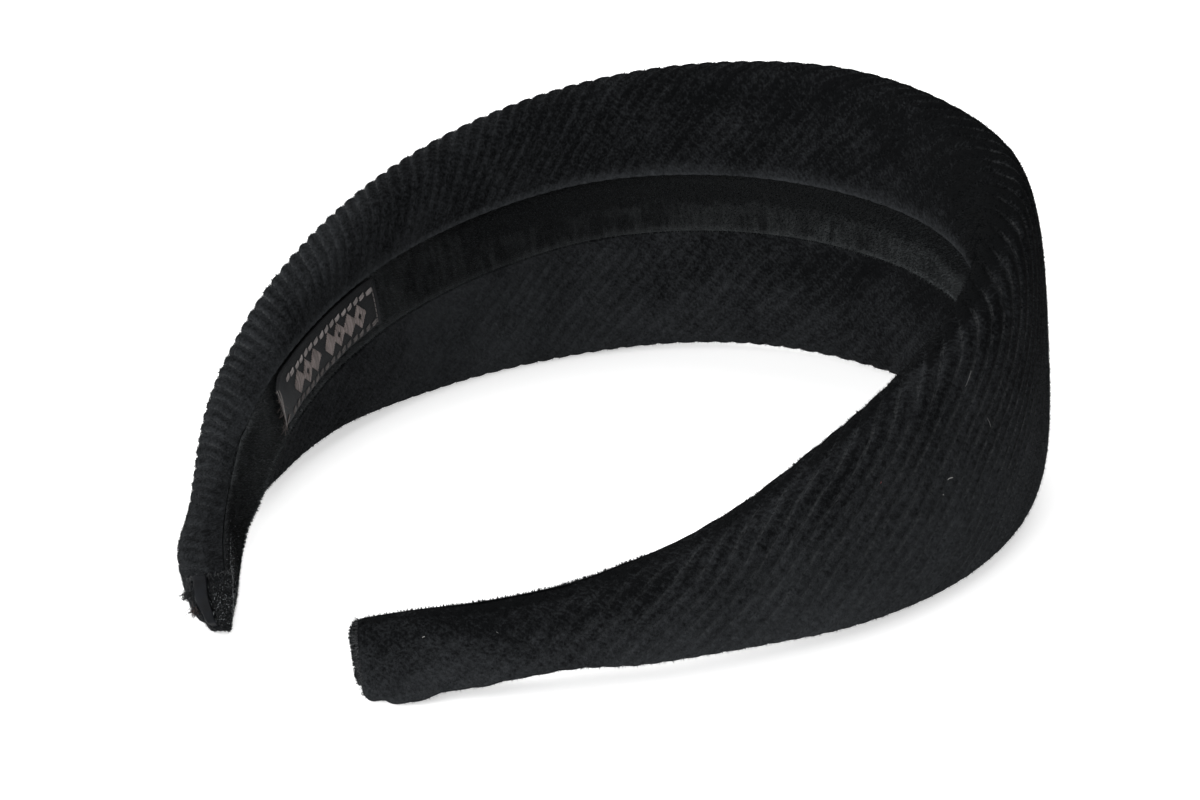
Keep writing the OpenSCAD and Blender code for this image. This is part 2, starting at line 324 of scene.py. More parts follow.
cloth.point_cache.frame_start, cloth.point_cache.frame_end = 1, PUFF_MOMENTS
for moment in range(1, PUFF_MOMENTS + 1):
    bpy.context.scene.frame_set(moment)
swollen = puffed.evaluated_get(bpy.context.evaluated_depsgraph_get())
puff = points_of(swollen.data).reshape(drawn.shape).astype(float) - drawn
size = np.linalg.norm(puff, axis=2, keepdims=True)
puff *= np.minimum(1, 0.001 * PUFF_CAP / np.maximum(size, 1e-9))
bpy.context.scene.frame_set(1)
bpy.data.meshes.remove(puffed.data)
# Smoothed between the cage's points
for axis in (0, 1):
    before, behind = (np.roll(puff, k, axis=axis) for k in (1, -1))
    ends = [slice(None)] * 3
    ends[axis] = slice(1, -1)
    puff[tuple(ends)] = ((before + 2 * puff + behind) / 4)[tuple(ends)]


def swell(share, row):
    """How far the cover stands out of its plain form, at shares and rows from 0 to 1."""
    at = (share + last_share) / (2 * last_share) * (PUFF_STATIONS - 1)
    across = np.broadcast_to(row, share.shape) * (PUFF_ROWS - 1)
    i = np.clip(at.astype(int), 0, PUFF_STATIONS - 2)
    j = np.clip(across.astype(int), 0, PUFF_ROWS - 2)
    a, b = (at - i)[..., None], (across - j)[..., None]
    a, b = a * a * (3 - 2 * a), b * b * (3 - 2 * b)
    return ((puff[i, j] * (1 - a) + puff[i + 1, j] * a) * (1 - b)
            + (puff[i, j + 1] * (1 - a) + puff[i + 1, j + 1] * a) * b)


# The ribs' number rises along the band and round it, so that each rib is a slanting line.
# Columns of the mesh follow the ribs, closest at the grooves between them.
RIBS_ROUND, RIBS_ACROSS = 0.30, 0.41
RIBS_ALONG = np.array([[-190, .33], [-50, .33], [-15, .30], [20, .275], [60, .25],
                       [95, .235], [115, .243], [135, .255], [190, .27]])
RIB_COLUMNS = np.array([0, .09, .2, .35, .5, .65, .8, .91])
PILE_DARK, PILE_LIGHT = (0.0028, 0.0031, 0.0034, 1), (0.0340, 0.0365, 0.0395, 1)
THREAD_PALE = (0.052, 0.054, 0.055, 1)
ribs_at = np.linspace(-HALF_LENGTH, HALF_LENGTH, 761)
ribs_by = np.interp(ribs_at, RIBS_ALONG[:, 0], RIBS_ALONG[:, 1])
ribs_sum = np.r_[0, np.cumsum(ribs_by[1:] + ribs_by[:-1])] * 0.25
ribs_sum -= np.interp(0, ribs_at, ribs_sum)


def rib_number(share, way_round):
    s = share * HALF_LENGTH
    wander = (0.16 * np.sin(s / 11 + way_round / 7) + 0.12 * np.sin(s / 5.3 - way_round / 9 + 1)
              + 0.10 * np.sin(s / 23 - way_round / 4.1 + 2))
    return np.interp(s, ribs_at, ribs_sum) + RIBS_ROUND * way_round + wander


row_rib = np.maximum.accumulate(rib_number(stations[:, None], row_way), axis=0)
row_rib += np.arange(len(stations))[:, None] * 1e-9
first, last = math.floor(row_rib.min()), math.ceil(row_rib.max())
columns = (np.arange(first, last + 1)[:, None] + RIB_COLUMNS).ravel()
share = np.stack([np.interp(columns, row_rib[:, r], stations) for r in range(ROWS)], 1)
out, up, way_round, rib = (
    np.stack([np.interp(share[:, r], stations, table[:, r]) for r in range(ROWS)], 1)
    for table in (row_out, row_up, row_way, row_rib))
points = place(share, out, up) + swell(share, np.linspace(0, 1, ROWS)[None])
# The cover is puckered at the near tip's lower corner, and pinched beside it
CORNER_PUCKER, CLEAR_OF_FLOOR = ((2.7, 183, 5), (0.9, 173, 3), (-0.5, 187.3, 1.1)), 0.00025
s_mm, low_edge = share * HALF_LENGTH, np.clip(1 - (up + half_width(share)) / 4.5, 0, 1)
flare = low_edge ** 2 * bumps(s_mm, *CORNER_PUCKER) * (out > 0)
points += flare[..., None] * (place(share, out + 1, up) - place(share, out, up))
points[..., 2] = np.maximum(points[..., 2], CLEAR_OF_FLOOR)
# Past a tip's end a column's points all fall on the end's own ring
number = np.arange(share.size).reshape(share.shape)
for r in range(ROWS):
    before = np.flatnonzero(share[:, r] <= stations[0])
    behind = np.flatnonzero(share[:, r] >= stations[-1])
    number[before, r] = number[before[-1], r]
    number[behind, r] = number[behind[0], r]
faces = np.stack([number[:-1, :-1], number[1:, :-1], number[1:, 1:], number[:-1, 1:]], -1)
faces = [list(dict.fromkeys(f)) for f in faces.reshape(-1, 4).tolist()]
faces = [f for f in faces if len(f) > 2]
# The channel's floor is stitched between the two folds' roots
foot = list(dict.fromkeys(number[:, 0].tolist()))
top = list(dict.fromkeys(number[:, -1].tolist()))
flat_share = share.ravel()
i = j = 0
while i < len(foot) - 1 or j < len(top) - 1:
    if j == len(top) - 1 or i < len(foot) - 1 and flat_share[foot[i + 1]] < flat_share[top[j + 1]]:
        faces.append([foot[i], foot[i + 1], top[j]])
        i += 1
    else:
        faces.append([foot[i], top[j + 1], top[j]])
        j += 1
faces += [number[0].tolist(), number[-1][::-1].tolist()]
used, faces_flat = np.unique([v for f in faces for v in f], return_inverse=True)
cuts = np.cumsum([len(f) for f in faces])[:-1]
plain = bpy.data.meshes.new("plain_cover")
plain.from_pydata(points.reshape(-1, 3)[used].tolist(), [],
                  [f.tolist() for f in np.split(faces_flat, cuts)])
# The cloth's own measure at each point: rib number, millimetres along the rib, and how
# much relief it has, none on the channel's floor and at the end's ring
away = np.minimum(np.linspace(0, 1, ROWS), np.linspace(1, 0, ROWS)) * ROWS
from_crown, height_share = np.abs(s_mm), up / half_width(share)
to_fold = np.minimum(np.abs(up - channel_edge(share, 1)), np.abs(up - channel_edge(share, -1)))
inside = np.clip(-out / half_thick(share) * 1.5, 0, 1)
relief = (rising(away, 1, 4) * np.clip(0.35 + (last_share * HALF_LENGTH - from_crown) / 2, 0, 1)
          * (1 - np.where(out > 0, 0.15, 0.45) * rising(from_crown, 125, 165))
          * (1 - inside * (0.8 - 0.4 * rising(to_fold, 0.88, 3.08)))
          * (1 - 0.25 * rising(s_mm, 60, 90) - 0.25 * rising(s_mm, 140, 175)))
along = (np.interp(s_mm, ribs_at, ribs_by) * way_round - RIBS_ROUND * s_mm) / RIBS_ACROSS
cloth_measure = np.stack([rib, along, relief], -1).reshape(-1, 3)[used]
# Where the ground weave shows most: the outside, most of all from the crown to mid-arm
outside = np.clip(out / half_thick(share) * 1.6 + 0.6, 0, 1)
bared = outside * (0.45 + 0.55 * near_to(from_crown, 60, 58))
bared = (np.maximum(bared, 0.1) * np.clip((188 - from_crown) / 40, 0.15, 1)
         * (1 - 0.5 * np.clip(height_share, 0, 1) * (1 - rising(np.abs(share), 0.375, 0.625)))
         * (1 - 0.35 * rising(share, 0.35, 0.55)))
# Painted light and shade on the pile: darker higher up and lighter lower down from the far arm's
# middle to the near tip, darker near both tips, and a painted highlight along the upper fold's
# roll
faces_in = out < 0
# Painted highlight along the upper fold's roll on the inside, from the far arm to just past the
# crown
painted_fold_highlight = np.clip(1 - np.abs(up - channel_edge(share, 1) - 0.45), 0, 1) * faces_in
painted_fold_highlight = painted_fold_highlight * (1 - rising(share, 0.3, 0.42)) * rising(share, -0.82, -0.62)
painted_shading = (0.9 * painted_fold_highlight - 0.45 * np.clip(height_share + 0.1, -1, 1) * rising(share, -0.55, -0.15)
         - 0.2 * rising(np.abs(share), 0.72, 0.84))
# Painted shade on the inside faces, most just past the crown on the near side, and on the crown's
# outside towards the near arm; painted light on the near arm's outside
painted_shading += np.where(faces_in, -0.22 - 0.35 * near_to(share, 0.3, 0.2),
                  0.12 * near_to(share, 0.6, 0.25) - 0.45 * near_to(share, 0.18, 0.16))
# Painted light low on the far arm's inside below the channel, and painted shade there from the
# crown on
painted_shading += (faces_in & (up < channel_edge(share, -1))) * (
    0.35 * near_to(share, -0.43, 0.1) - 0.4 * rising(share, -0.28, -0.03))


def keep_on(mesh, name, values):
    """Keeps a number, or three of them, at each point of a mesh."""
    values = np.asarray(values, np.float32).ravel()
    kind, field = (("FLOAT", "value") if len(values) == len(mesh.vertices)
                   else ("FLOAT_VECTOR", "vector"))
    mesh.attributes.new(name, kind, "POINT").data.foreach_set(field, values)


keep_on(plain, "cloth", cloth_measure)
keep_on(plain, "bared", bared.ravel()[used])
keep_on(plain, "painted_shading", painted_shading.ravel()[used])
face_outward(plain)
plain.shade_smooth()
plain_cover = in_scene("plain_cover", plain)


def sums(operation, reflected=False):
    def worked_out(self, other):
        return self.math(operation, *((other, self) if reflected else (self, other)))
    return worked_out


class Wire:
    """A node's output. Sums with it add Math nodes to its tree."""

    __add__, __radd__ = sums("ADD"), sums("ADD", True)
    __sub__, __rsub__ = sums("SUBTRACT"), sums("SUBTRACT", True)
    __mul__, __rmul__ = sums("MULTIPLY"), sums("MULTIPLY", True)
    __truediv__ = sums("DIVIDE")

    def __init__(self, tree, socket):
        self.tree, self.socket = tree, socket

    def __abs__(self):
        return self.math("ABSOLUTE", self)

    def math(self, operation, *terms):
        return self.tree.node("ShaderNodeMath", {"operation": operation}, dict(enumerate(terms)))

    def fract(self):
        return self.math("FRACT", self)

    def rise(self, low, high):
        """0 below low, 1 above high, smooth between."""
        return self.tree.node("ShaderNodeMapRange", {"interpolation_type": "SMOOTHSTEP"},
                              {"Value": self, "From Min": low, "From Max": high})


class Tree:
    """The nodes of a material or a modifier, made by one method."""

    def __init__(self, tree):
        self.nodes, self.links = tree.nodes, tree.links

    def node(self, kind, settings=(), sockets=(), output=0):
        made = self.nodes.new(kind)
        for name, value in dict(settings).items():
            setattr(made, name, value)
        for name, value in dict(sockets).items():
            socket = self.socket(made.inputs, name)
            if isinstance(value, Wire):
                self.links.new(value.socket, socket)
            else:
                socket.default_value = value
        return Wire(self, self.socket(made.outputs, output))

    def socket(self, sockets, name):
        if isinstance(name, int):
            return sockets[name]
        return next((s for s in sockets if s.identifier == name), None) or sockets[name]

    def other(self, wire, output):
        """Another output of the same node."""
        return Wire(self, self.socket(wire.socket.node.outputs, output))

    def mix(self, share, first, second):
        return self.node("ShaderNodeMix", {"data_type": "RGBA"},
                         {"Factor_Float": share, "A_Color": first, "B_Color": second},
                         "Result_Color")

    def attribute(self, name, output="Fac"):
        """What keep_on has kept, in a material."""
        return self.node("ShaderNodeAttribute", {"attribute_name": name}, {}, output)

    def on_points(self, name, kind="FLOAT"):
        """What keep_on has kept, in a modifier."""
        return self.node("GeometryNodeInputNamedAttribute", {"data_type": kind}, {"Name": name},
                         "Attribute")

    def object_at(self):
        return self.node("ShaderNodeTexCoord", {}, {}, "Object")

    def scaled(self, vector, by):
        return self.node("ShaderNodeVectorMath", {"operation": "SCALE"}, {0: vector, "Scale": by})

    def random(self, low, high, seed):
        """A number between low and high, or three of them."""
        if isinstance(low, tuple):
            return self.node("FunctionNodeRandomValue", {"data_type": "FLOAT_VECTOR"},
                             {"Min": low, "Max": high, "Seed": seed}, "Value")
        return self.node("FunctionNodeRandomValue", {"data_type": "FLOAT"},
                         {"Min_001": low, "Max_001": high, "Seed": seed}, "Value_001")

    def bump(self, height, strength, distance):
        return self.node("ShaderNodeBump", {}, {"Strength": strength, "Distance": distance,
                                                "Height": height}, "Normal")

    def feed(self, socket, wire):
        """Links a wire to the material's own shader."""
        self.links.new(wire.socket, self.shader.inputs[socket])

    def noise(self, at, scale, detail=2, roughness=0.5):
        return self.node("ShaderNodeTexNoise", {},
                         {"Vector": at, "Scale": scale, "Detail": detail, "Roughness": roughness})

    def give(self, geometry, finish):
        """Ends a modifier's tree: real faces, with their material."""
        solid = self.node("GeometryNodeRealizeInstances", {}, {0: geometry})
        done = self.node("GeometryNodeSetMaterial", {}, {"Geometry": solid, "Material": finish})
        self.links.new(done.socket, self.nodes.new("NodeGroupOutput").inputs[0])

    def parts(self, vector):
        first = self.node("ShaderNodeSeparateXYZ", {}, {0: vector})
        return first, self.other(first, 1), self.other(first, 2)

    def vector(self, x, y, z):
        return self.node("ShaderNodeCombineXYZ", {}, {0: x, 1: y, 2: z})


def worked(name, inputs):
    """An empty modifier tree: its group, its Tree, and wires of its mesh and named sizes."""
    group = bpy.data.node_groups.new(name, "GeometryNodeTree")
    group.interface.new_socket("Geometry", in_out="OUTPUT", socket_type="NodeSocketGeometry")
    group.interface.new_socket("Geometry", in_out="INPUT", socket_type="NodeSocketGeometry")
    for label in inputs:
        kind = "NodeSocketInt" if label == "Seed" else "NodeSocketFloat"
        group.interface.new_socket(label, in_out="INPUT", socket_type=kind)
    tree = Tree(group)
    first = tree.node("NodeGroupInput")
    return group, tree, first, {label: tree.other(first, label) for label in inputs}


def made_by(group, source, values, name):
    """Runs a modifier tree on a piece and keeps the result as a plain mesh object."""
    modifier = source.modifiers.new(name, "NODES")
    modifier.node_group = group
    for item in group.interface.items_tree:
        if item.in_out == "INPUT" and item.name in values:
            modifier[item.identifier] = values[item.name]
    made = bpy.data.meshes.new_from_object(
        source.evaluated_get(bpy.context.evaluated_depsgraph_get()))
    source.modifiers.remove(modifier)
    made.name = name
    return in_scene(name, made)


def new_finish(name, roughness, sheen=0, sheen_tint=(1, 1, 1, 1), specular=0.3):
    """A material and its Tree, with what is even over the surface set on its shader."""
    finish = bpy.data.materials.new(name)
    finish.use_nodes = True
    tree = Tree(finish.node_tree)
    tree.shader = next(n for n in tree.nodes if n.type == "BSDF_PRINCIPLED")
    for socket, value in (("Roughness", roughness), ("Specular IOR Level", specular),
                          ("Sheen Weight", sheen), ("Sheen Roughness", 0.45),
                          ("Sheen Tint", sheen_tint)):
        tree.shader.inputs[socket].default_value = value
    return finish, tree


# Corduroy: deep black pile on the ribs, brushed a little lighter in patches. In the grooves
# the paler ground weave shows, here and there as a beaded line where the cloth is stretched
# round the outside, and only as a soft stripe on the inside.
corduroy, tree = new_finish("corduroy", 1, specular=0.03)
rib_wire, along_wire, relief_wire = tree.parts(tree.attribute("cloth", "Vector"))
bared_wire, painted_shading_wire = tree.attribute("bared"), tree.attribute("painted_shading")
groove = abs(rib_wire.fract() - 0.5) * 2
cloth_at = tree.vector(rib_wire * 2.4, along_wire, relief_wire)
tufts = tree.noise(cloth_at, 2.1, 3, 0.75)
mottled = tree.noise(cloth_at, 1.0, 2, 0.5)
brushed = tree.noise(tree.vector(rib_wire * 2.4, along_wire * 0.5, 0.0), 0.13, 3, 0.6)
beads = abs((along_wire / 1.05 + mottled * 2.2).fract() - 0.5) * 2
# The pile's tone adds the painted light and shade kept on the cover to its random patches, beads
# and paler grooves
tone = ((tufts - 0.5) * 1.15 + (mottled - 0.5) * 0.45 + (brushed - 0.5) * 0.6 + 0.37
        + painted_shading_wire * 0.5 + (beads - 0.5) * 0.12
        + (groove - 0.5) * (0.1 + brushed * 0.2 + bared_wire * 0.4) * relief_wire)
pile = tree.mix(tone, PILE_DARK, PILE_LIGHT)
ground = abs((along_wire / 0.85 + tufts * 1.2).fract() - 0.5) * 2
broken = tree.noise(tree.vector(rib_wire * 9.3, along_wire * 0.5, 3.0), 0.9, 2).rise(0.38, 0.62)
ground = (0.3 + ground.rise(0.0, 0.7) * 0.7) * broken * bared_wire
in_groove = (groove + tufts * 0.2 - 0.1).rise(0.70, 0.88) * relief_wire.rise(0.3, 0.9)
tree.feed("Base Color", tree.mix(in_groove * ground, pile, THREAD_PALE))
tree.feed("Normal", tree.bump(tufts * 0.7 + tree.noise(cloth_at, 6.0, 2) * 0.3, 1.0, 0.0004))

# The ribs' relief: each rib is a rounded ridge of pile over the cover's plain form
group, tree, inlet, size = worked("ribs", ["Rib height", "Unevenness"])
rib_wire, along_wire, relief_wire = tree.parts(tree.on_points("cloth", "FLOAT_VECTOR"))
down = abs(rib_wire.fract() - 0.5) * 2
ridge = 1 - down * down
lumps = tree.noise(tree.vector(rib_wire * 2.4, along_wire, 0.0), 0.5, 2) - 0.5
height = (ridge - 0.6) * size["Rib height"] + lumps * size["Unevenness"]
offset = tree.scaled(tree.node("GeometryNodeInputNormal"), height * relief_wire)
raised = tree.node("GeometryNodeSetPosition", {}, {"Geometry": inlet, "Offset": offset})
tree.give(raised, corduroy)
corduroy_cover = made_by(group, plain_cover, {"Rib height": 0.00050, "Unevenness": 0.00022},
                         "corduroy_cover")
bpy.data.objects.remove(plain_cover)
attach(corduroy_cover, "root")
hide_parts("padded_band")


# The cover's nap: stray pile fibres stand on the ribs and give the cloth its soft, fuzzy
# outline. Each is one narrow three-cornered blade, leaning at random.
def pile_tree(name, finish):
    group, tree, inlet, size = worked(
        name, ["Fibres per square metre", "Fibre length", "Fibre width", "Lean", "Seed"])
    density = tree.on_points("pile") * size["Fibres per square metre"]
    spread = tree.node("GeometryNodeDistributePointsOnFaces", {}, {
        "Mesh": inlet, "Density": density, "Seed": size["Seed"]})
    blade = tree.node("GeometryNodeMeshCircle", {"fill_type": "NGON"},
                      {"Vertices": 3, "Radius": 1.0}, "Mesh")
    blade = tree.node("GeometryNodeTransform", {}, {
        "Geometry": blade, "Translation": (0.5, 0, 0)})
    blade = tree.node("GeometryNodeTransform", {}, {
        "Geometry": blade, "Rotation": (0, -math.pi / 2, 0),
        "Scale": tree.vector(size["Fibre length"] * 0.667, size["Fibre width"] * 0.577, 1.0)})
    random_lean = tree.scaled(tree.random((-1, -1, -1), (1, 1, 1), size["Seed"]), size["Lean"])
    aim = tree.node("ShaderNodeVectorMath", {"operation": "ADD"},
                    {0: tree.other(spread, "Normal"), 1: random_lean})
    stand = tree.node("FunctionNodeAlignRotationToVector", {"axis": "Z"}, {"Vector": aim})
    yaw = tree.vector(0.0, 0.0, tree.random(0.0, math.pi, size["Seed"]))
    yaw = tree.node("FunctionNodeEulerToRotation", {}, {0: yaw})
    turned = tree.node("FunctionNodeRotateRotation", {"rotation_space": "LOCAL"},
                       {0: stand, 1: yaw})
    stood = tree.node("GeometryNodeInstanceOnPoints", {}, {
        "Points": spread, "Instance": blade, "Rotation": turned,
        "Scale": tree.random(0.55, 1.25, size["Seed"])})
    tree.give(stood, finish)
    return group


nap, tree = new_finish("cover_nap", 1, specular=0.03)
spot = tree.noise(tree.object_at(), 1400, 2, 0.7)
# The stray fibres take the same painted light and shade as the cover, over random spots
spot = (spot - 0.5) * 1.3 + 0.42 + 0.5 * tree.attribute("painted_shading")
tree.feed("Base Color", tree.mix(spot, PILE_DARK, PILE_LIGHT))
cover_mesh = corduroy_cover.data
felt = np.empty(len(cover_mesh.vertices) * 3, np.float32)
cover_mesh.attributes["cloth"].data.foreach_get("vector", felt)
felt = felt.reshape(-1, 3)
crest = 1 - np.abs(np.mod(felt[:, 0], 1) - 0.5) * 2
off_floor = points_of(cover_mesh)[:, 2] > 0.0006
keep_on(cover_mesh, "pile", (1 - crest) ** 0.5 * (felt[:, 2] > 0.2) * off_floor)
cover_nap = made_by(pile_tree("stray_fibres", nap), corduroy_cover, {
    "Fibres per square metre": 8.4e6, "Fibre length": 0.00040, "Fibre width": 0.00010,
    "Lean": 0.55, "Seed": 4}, "cover_nap")
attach(cover_nap, "root")


# The stiff band's end: a strip of hard plastic that stands a little out of the far tip,
# between the cover's cut edge and the ribbon's turned end.
STIFF_WIDTH, STIFF_THICKNESS, STIFF_LENGTH, STIFF_ROUNDING = 8.8, 2.0, 12, 0.35
STIFF_OUT, STIFF_UP, STIFF_RISE, STIFF_LEAN = 0.9, 0.4, 1.4, 0.25
PLASTIC_DARK, PLASTIC_LIGHT = (0.0010, 0.0013, 0.0020, 1), (0.0034, 0.0042, 0.0058, 1)
turn_radius = END_RADIUS / 2
turn_share = 1 - turn_radius / HALF_LENGTH
turn_floor = float(channel_floor(np.array([1 - end_share]), 0)[0])
stiff_middle = turn_floor - RIBBON_THICKNESS + RIBBON_END + STIFF_THICKNESS / 2 + STIFF_LEAN
stiff_mesh = bpy.data.meshes.new("stiff_band_end")
shell = bmesh.new()
bmesh.ops.create_cube(shell, size=1)
bmesh.ops.scale(shell, vec=(STIFF_THICKNESS, STIFF_WIDTH, STIFF_LENGTH), verts=shell.verts)
bmesh.ops.bevel(shell, geom=shell.edges[:], offset=STIFF_ROUNDING, segments=3, profile=0.5,
                affect="EDGES")
bmesh.ops.subdivide_edges(shell, edges=[e for e in shell.edges if e.calc_length() > 2],
                          cuts=12, use_grid_fill=True)
# Points and faces in the same order at each run
sort_way = Vector((1, math.e, math.pi))
shell.verts.sort(key=lambda vert: vert.co.dot(sort_way))
shell.faces.sort(key=lambda face: face.calc_center_median().dot(sort_way))
local = np.array([v.co for v in shell.verts])
wave = 0.16 * np.sin(local[:, 1] * 1.1 + 1) + 0.04 * np.sin(local[:, 1] * 3.1 + local[:, 2])
past_end = STIFF_OUT - STIFF_LENGTH / 2 + local[:, 2]
end_points = place(np.full(len(local), -1.0), stiff_middle + local[:, 0] + wave * 0.6,
                   local[:, 1] + STIFF_UP + STIFF_RISE * rising(past_end, -0.2, 0.8),
                   past_end + wave)
for vertex, point in zip(shell.verts, end_points):
    vertex.co = point
bmesh.ops.recalc_face_normals(shell, faces=shell.faces)
shell.to_mesh(stiff_mesh)
shell.free()
stiff_mesh.shade_smooth()
stiff_end = in_scene("stiff_band_end", stiff_mesh)
plastic, tree = new_finish("stiff_plastic", 0.5, specular=0.1)
smear = tree.noise(tree.object_at(), 450, 3, 0.6)
tree.feed("Base Color", tree.mix(smear.rise(0.35, 0.7), PLASTIC_DARK, PLASTIC_LIGHT))
tree.feed("Roughness", 0.28 + smear * 0.35)
tree.feed("Normal", tree.bump(smear, 0.4, 0.0002))
stiff_mesh.materials.append(plastic)
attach(stiff_end, "root")
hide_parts("stiffener_end")


# The lining ribbon: black velvet tape glued along the channel between the two folds. At
# each tip it is turned outwards over the end and glued down there.
TAPE, EDGE_CURL = 0.5, 0.4
VELVET_DARK, VELVET_LIGHT = (0.0030, 0.0034, 0.0036, 1), (0.0440, 0.0475, 0.0490, 1)
tape_shares = np.linspace(-(1 - end_share), 1 - end_share, 541)
turn_angles = np.radians(np.linspace(0, 90, 9))
turn_shares = turn_share + (last_share - turn_share) * turn_angles / (math.pi / 2)
tape_slide = RIBBON_END - GAP - RIBBON_THICKNESS - turn_radius


def strip_section(steps, round_steps=4):
    """A tape's closed outline as (share across, share of thickness), anticlockwise."""
    across = np.linspace(0.02, 0.98, steps)
    side = np.linspace(0, math.pi, round_steps + 2)[1:-1]
    top = np.stack([across[::-1], 1 + 0 * across], -1)
    left = np.stack([0.02 - 0.02 * np.sin(side), (1 + np.cos(side)) / 2], -1)
    bottom = np.stack([across, 0 * across], -1)
    right = np.stack([0.98 + 0.02 * np.sin(side), (1 - np.cos(side)) / 2], -1)
    return np.concatenate([top, left, bottom, right])


section = strip_section(15)
rings = []


def tape_ring(share):
    """The tape's heights and its points' distances from the channel's floor."""
    foot, top = channel_edge(np.abs(share), -1) + 0.04, channel_edge(np.abs(share), 1) - 0.1
    curl = EDGE_CURL * near_to(section[:, 0] * RIBBON_WIDTH, 0, 0.9)
    lift = GAP + TAPE * section[:, 1] + curl * (1 - rising(np.abs(share), 0.78, 0.88))
    return foot + (top - foot) * section[:, 0], lift


for side in (-1, 1):
    tail, at_end = [], np.full(len(section), float(side))
    for angle, turned_share in zip(turn_angles, turn_shares):
        up, lift = tape_ring(np.array([turned_share]))
        reach = turn_radius + lift
        tail.append(place(at_end, turn_floor + turn_radius - reach * math.cos(angle), up,
                          reach * math.sin(angle) - turn_radius))
    for slide in np.linspace(0, tape_slide, 5)[1:]:
        tail.append(place(at_end, turn_floor + turn_radius + slide, up, lift))
    if side > 0:
        rings += tail
        continue
    rings += tail[::-1]
    for s in tape_shares:
        up, lift = tape_ring(np.array([s]))
        lift = lift + section[:, 1] * 0.05 * np.sin(up * 1.7 + s * 60)
        s = np.full(len(up), s)
        rings.append(place(s, channel_floor(s, up) - lift, up))
rings = np.array(rings)
runs = np.r_[0, np.cumsum(np.linalg.norm(np.diff(rings.mean(1), axis=0), axis=1))] * 1000


def tape_measure_of(section, width, runs):
    """Millimetres across and along a tape, and its share of thickness, at each point."""
    return np.stack(np.broadcast_arrays(section[:, 0] * width, runs[:, None], section[:, 1]), -1)


velvet_ribbon = skin("velvet_ribbon", rings)
ribbon_mesh = velvet_ribbon.data
tape_measure = tape_measure_of(section, RIBBON_WIDTH, runs)
keep_on(ribbon_mesh, "tape", tape_measure)
keep_on(ribbon_mesh, "pile", tape_measure[..., 2] > 0.4)

velvet, tree = new_finish("velvet", 0.85, 0.06, (0.8, 0.9, 1, 1), 0.12)
across_wire, along_wire, top_wire = tree.parts(tree.attribute("tape", "Vector"))
crushed = tree.noise(tree.object_at(), 130, 3, 0.55)
fine = tree.noise(tree.object_at(), 1500, 2, 0.7)
# Streaks where the pile is parted, with painted light over the half beyond the crown, and a
# painted shadow under the upper fold
streaks = tree.noise(tree.vector(along_wire * 0.8, across_wire * 0.16, 0.0), 1.0, 3, 0.6)
# Parted pile with painted light over it: the velvet is lighter and more streaked from 165 to 330
# mm along
parted_and_lit = along_wire.rise(165, 225) * (1 - along_wire.rise(290, 330))
fold_shadow = across_wire + (streaks - 0.5) * 9 + (crushed - 0.5) * 7
fold_shadow = fold_shadow.rise(4.6, 7.0) * along_wire.rise(105, 140)
lit = ((crushed - 0.5) * 1.8 + (fine - 0.5) * 1.1 + (streaks - 0.5) * (2.2 + parted_and_lit * 2.2)
       + parted_and_lit * 0.6 + 0.42 - fold_shadow * (1.5 - along_wire.rise(225, 262) * 1.1)
       # Painted light on the tape's lower edge, in the crevice by the lower fold, and from 28 to
       # 100 mm along beside the label, where the channel is in shade; then darker from 96 to 155
       # mm along and within 30 mm of the far end
       + (1 - across_wire.rise(0.0, 1.3)) * 0.7
       + along_wire.rise(28, 54) * (1 - along_wire.rise(86, 100)) * 1.35
       - along_wire.rise(96, 112) * (1 - along_wire.rise(130, 155)) * 0.25
       - (1 - along_wire.rise(14, 30)) * 0.7)
tree.feed("Base Color", tree.mix(lit * 0.4, VELVET_DARK, VELVET_LIGHT))
ribbon_mesh.materials.append(velvet)
velvet_pile = made_by(pile_tree("velvet_pile", velvet), velvet_ribbon, {
    "Fibres per square metre": 3.2e7, "Fibre length": 0.00046, "Fibre width": 0.00016,
    "Lean": 0.35, "Seed": 11}, "velvet_pile")
for piece in (velvet_ribbon, velvet_pile):
    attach(piece, "root")
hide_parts("lining_ribbon")


# The label: a short folded satin tape, black, lying on the ribbon near the far tip. Two rows
# of pale dashes run along it, with lozenges in pale pink thread between them, and its raw
# end at the tip's side has come undone.
LABEL_FROM_TIP, LABEL_LENGTH, LABEL_HEIGHT, LABEL_TAPE, LABEL_UP = 53.2, 36.2, 8.4, 0.45, 0.85
LABEL_LOW = GAP + RIBBON_THICKNESS + GAP
rng = np.random.default_rng(5)


def on_label(along, across, lift=0.0):
    """Points over the label, in millimetres from its end at the far tip and its middle."""
    along, across = np.broadcast_arrays(np.asarray(along, float), across)
    share = (LABEL_FROM_TIP + along) / HALF_LENGTH - 1
    up = (channel_edge(share, 1) + channel_edge(share, -1)) / 2 + LABEL_UP
    across = across * (1 - 0.16 * (1 - rising(along, 0, 3.5)))
    bow = 0.28 * (1 - (across / LABEL_HEIGHT * 2) ** 2) + 0.08 * np.sin(along * 0.7 + across * 0.4)
    up = up + across
    curl = 0.45 * (1 - rising(along, 0, 4)) ** 2 + 0.3 * rising(along, 33.8, 36.2) ** 2
    top = LABEL_LOW + LABEL_TAPE + np.maximum(bow, 0) + curl
    return place(share, channel_floor(share, up) - top - lift, up)


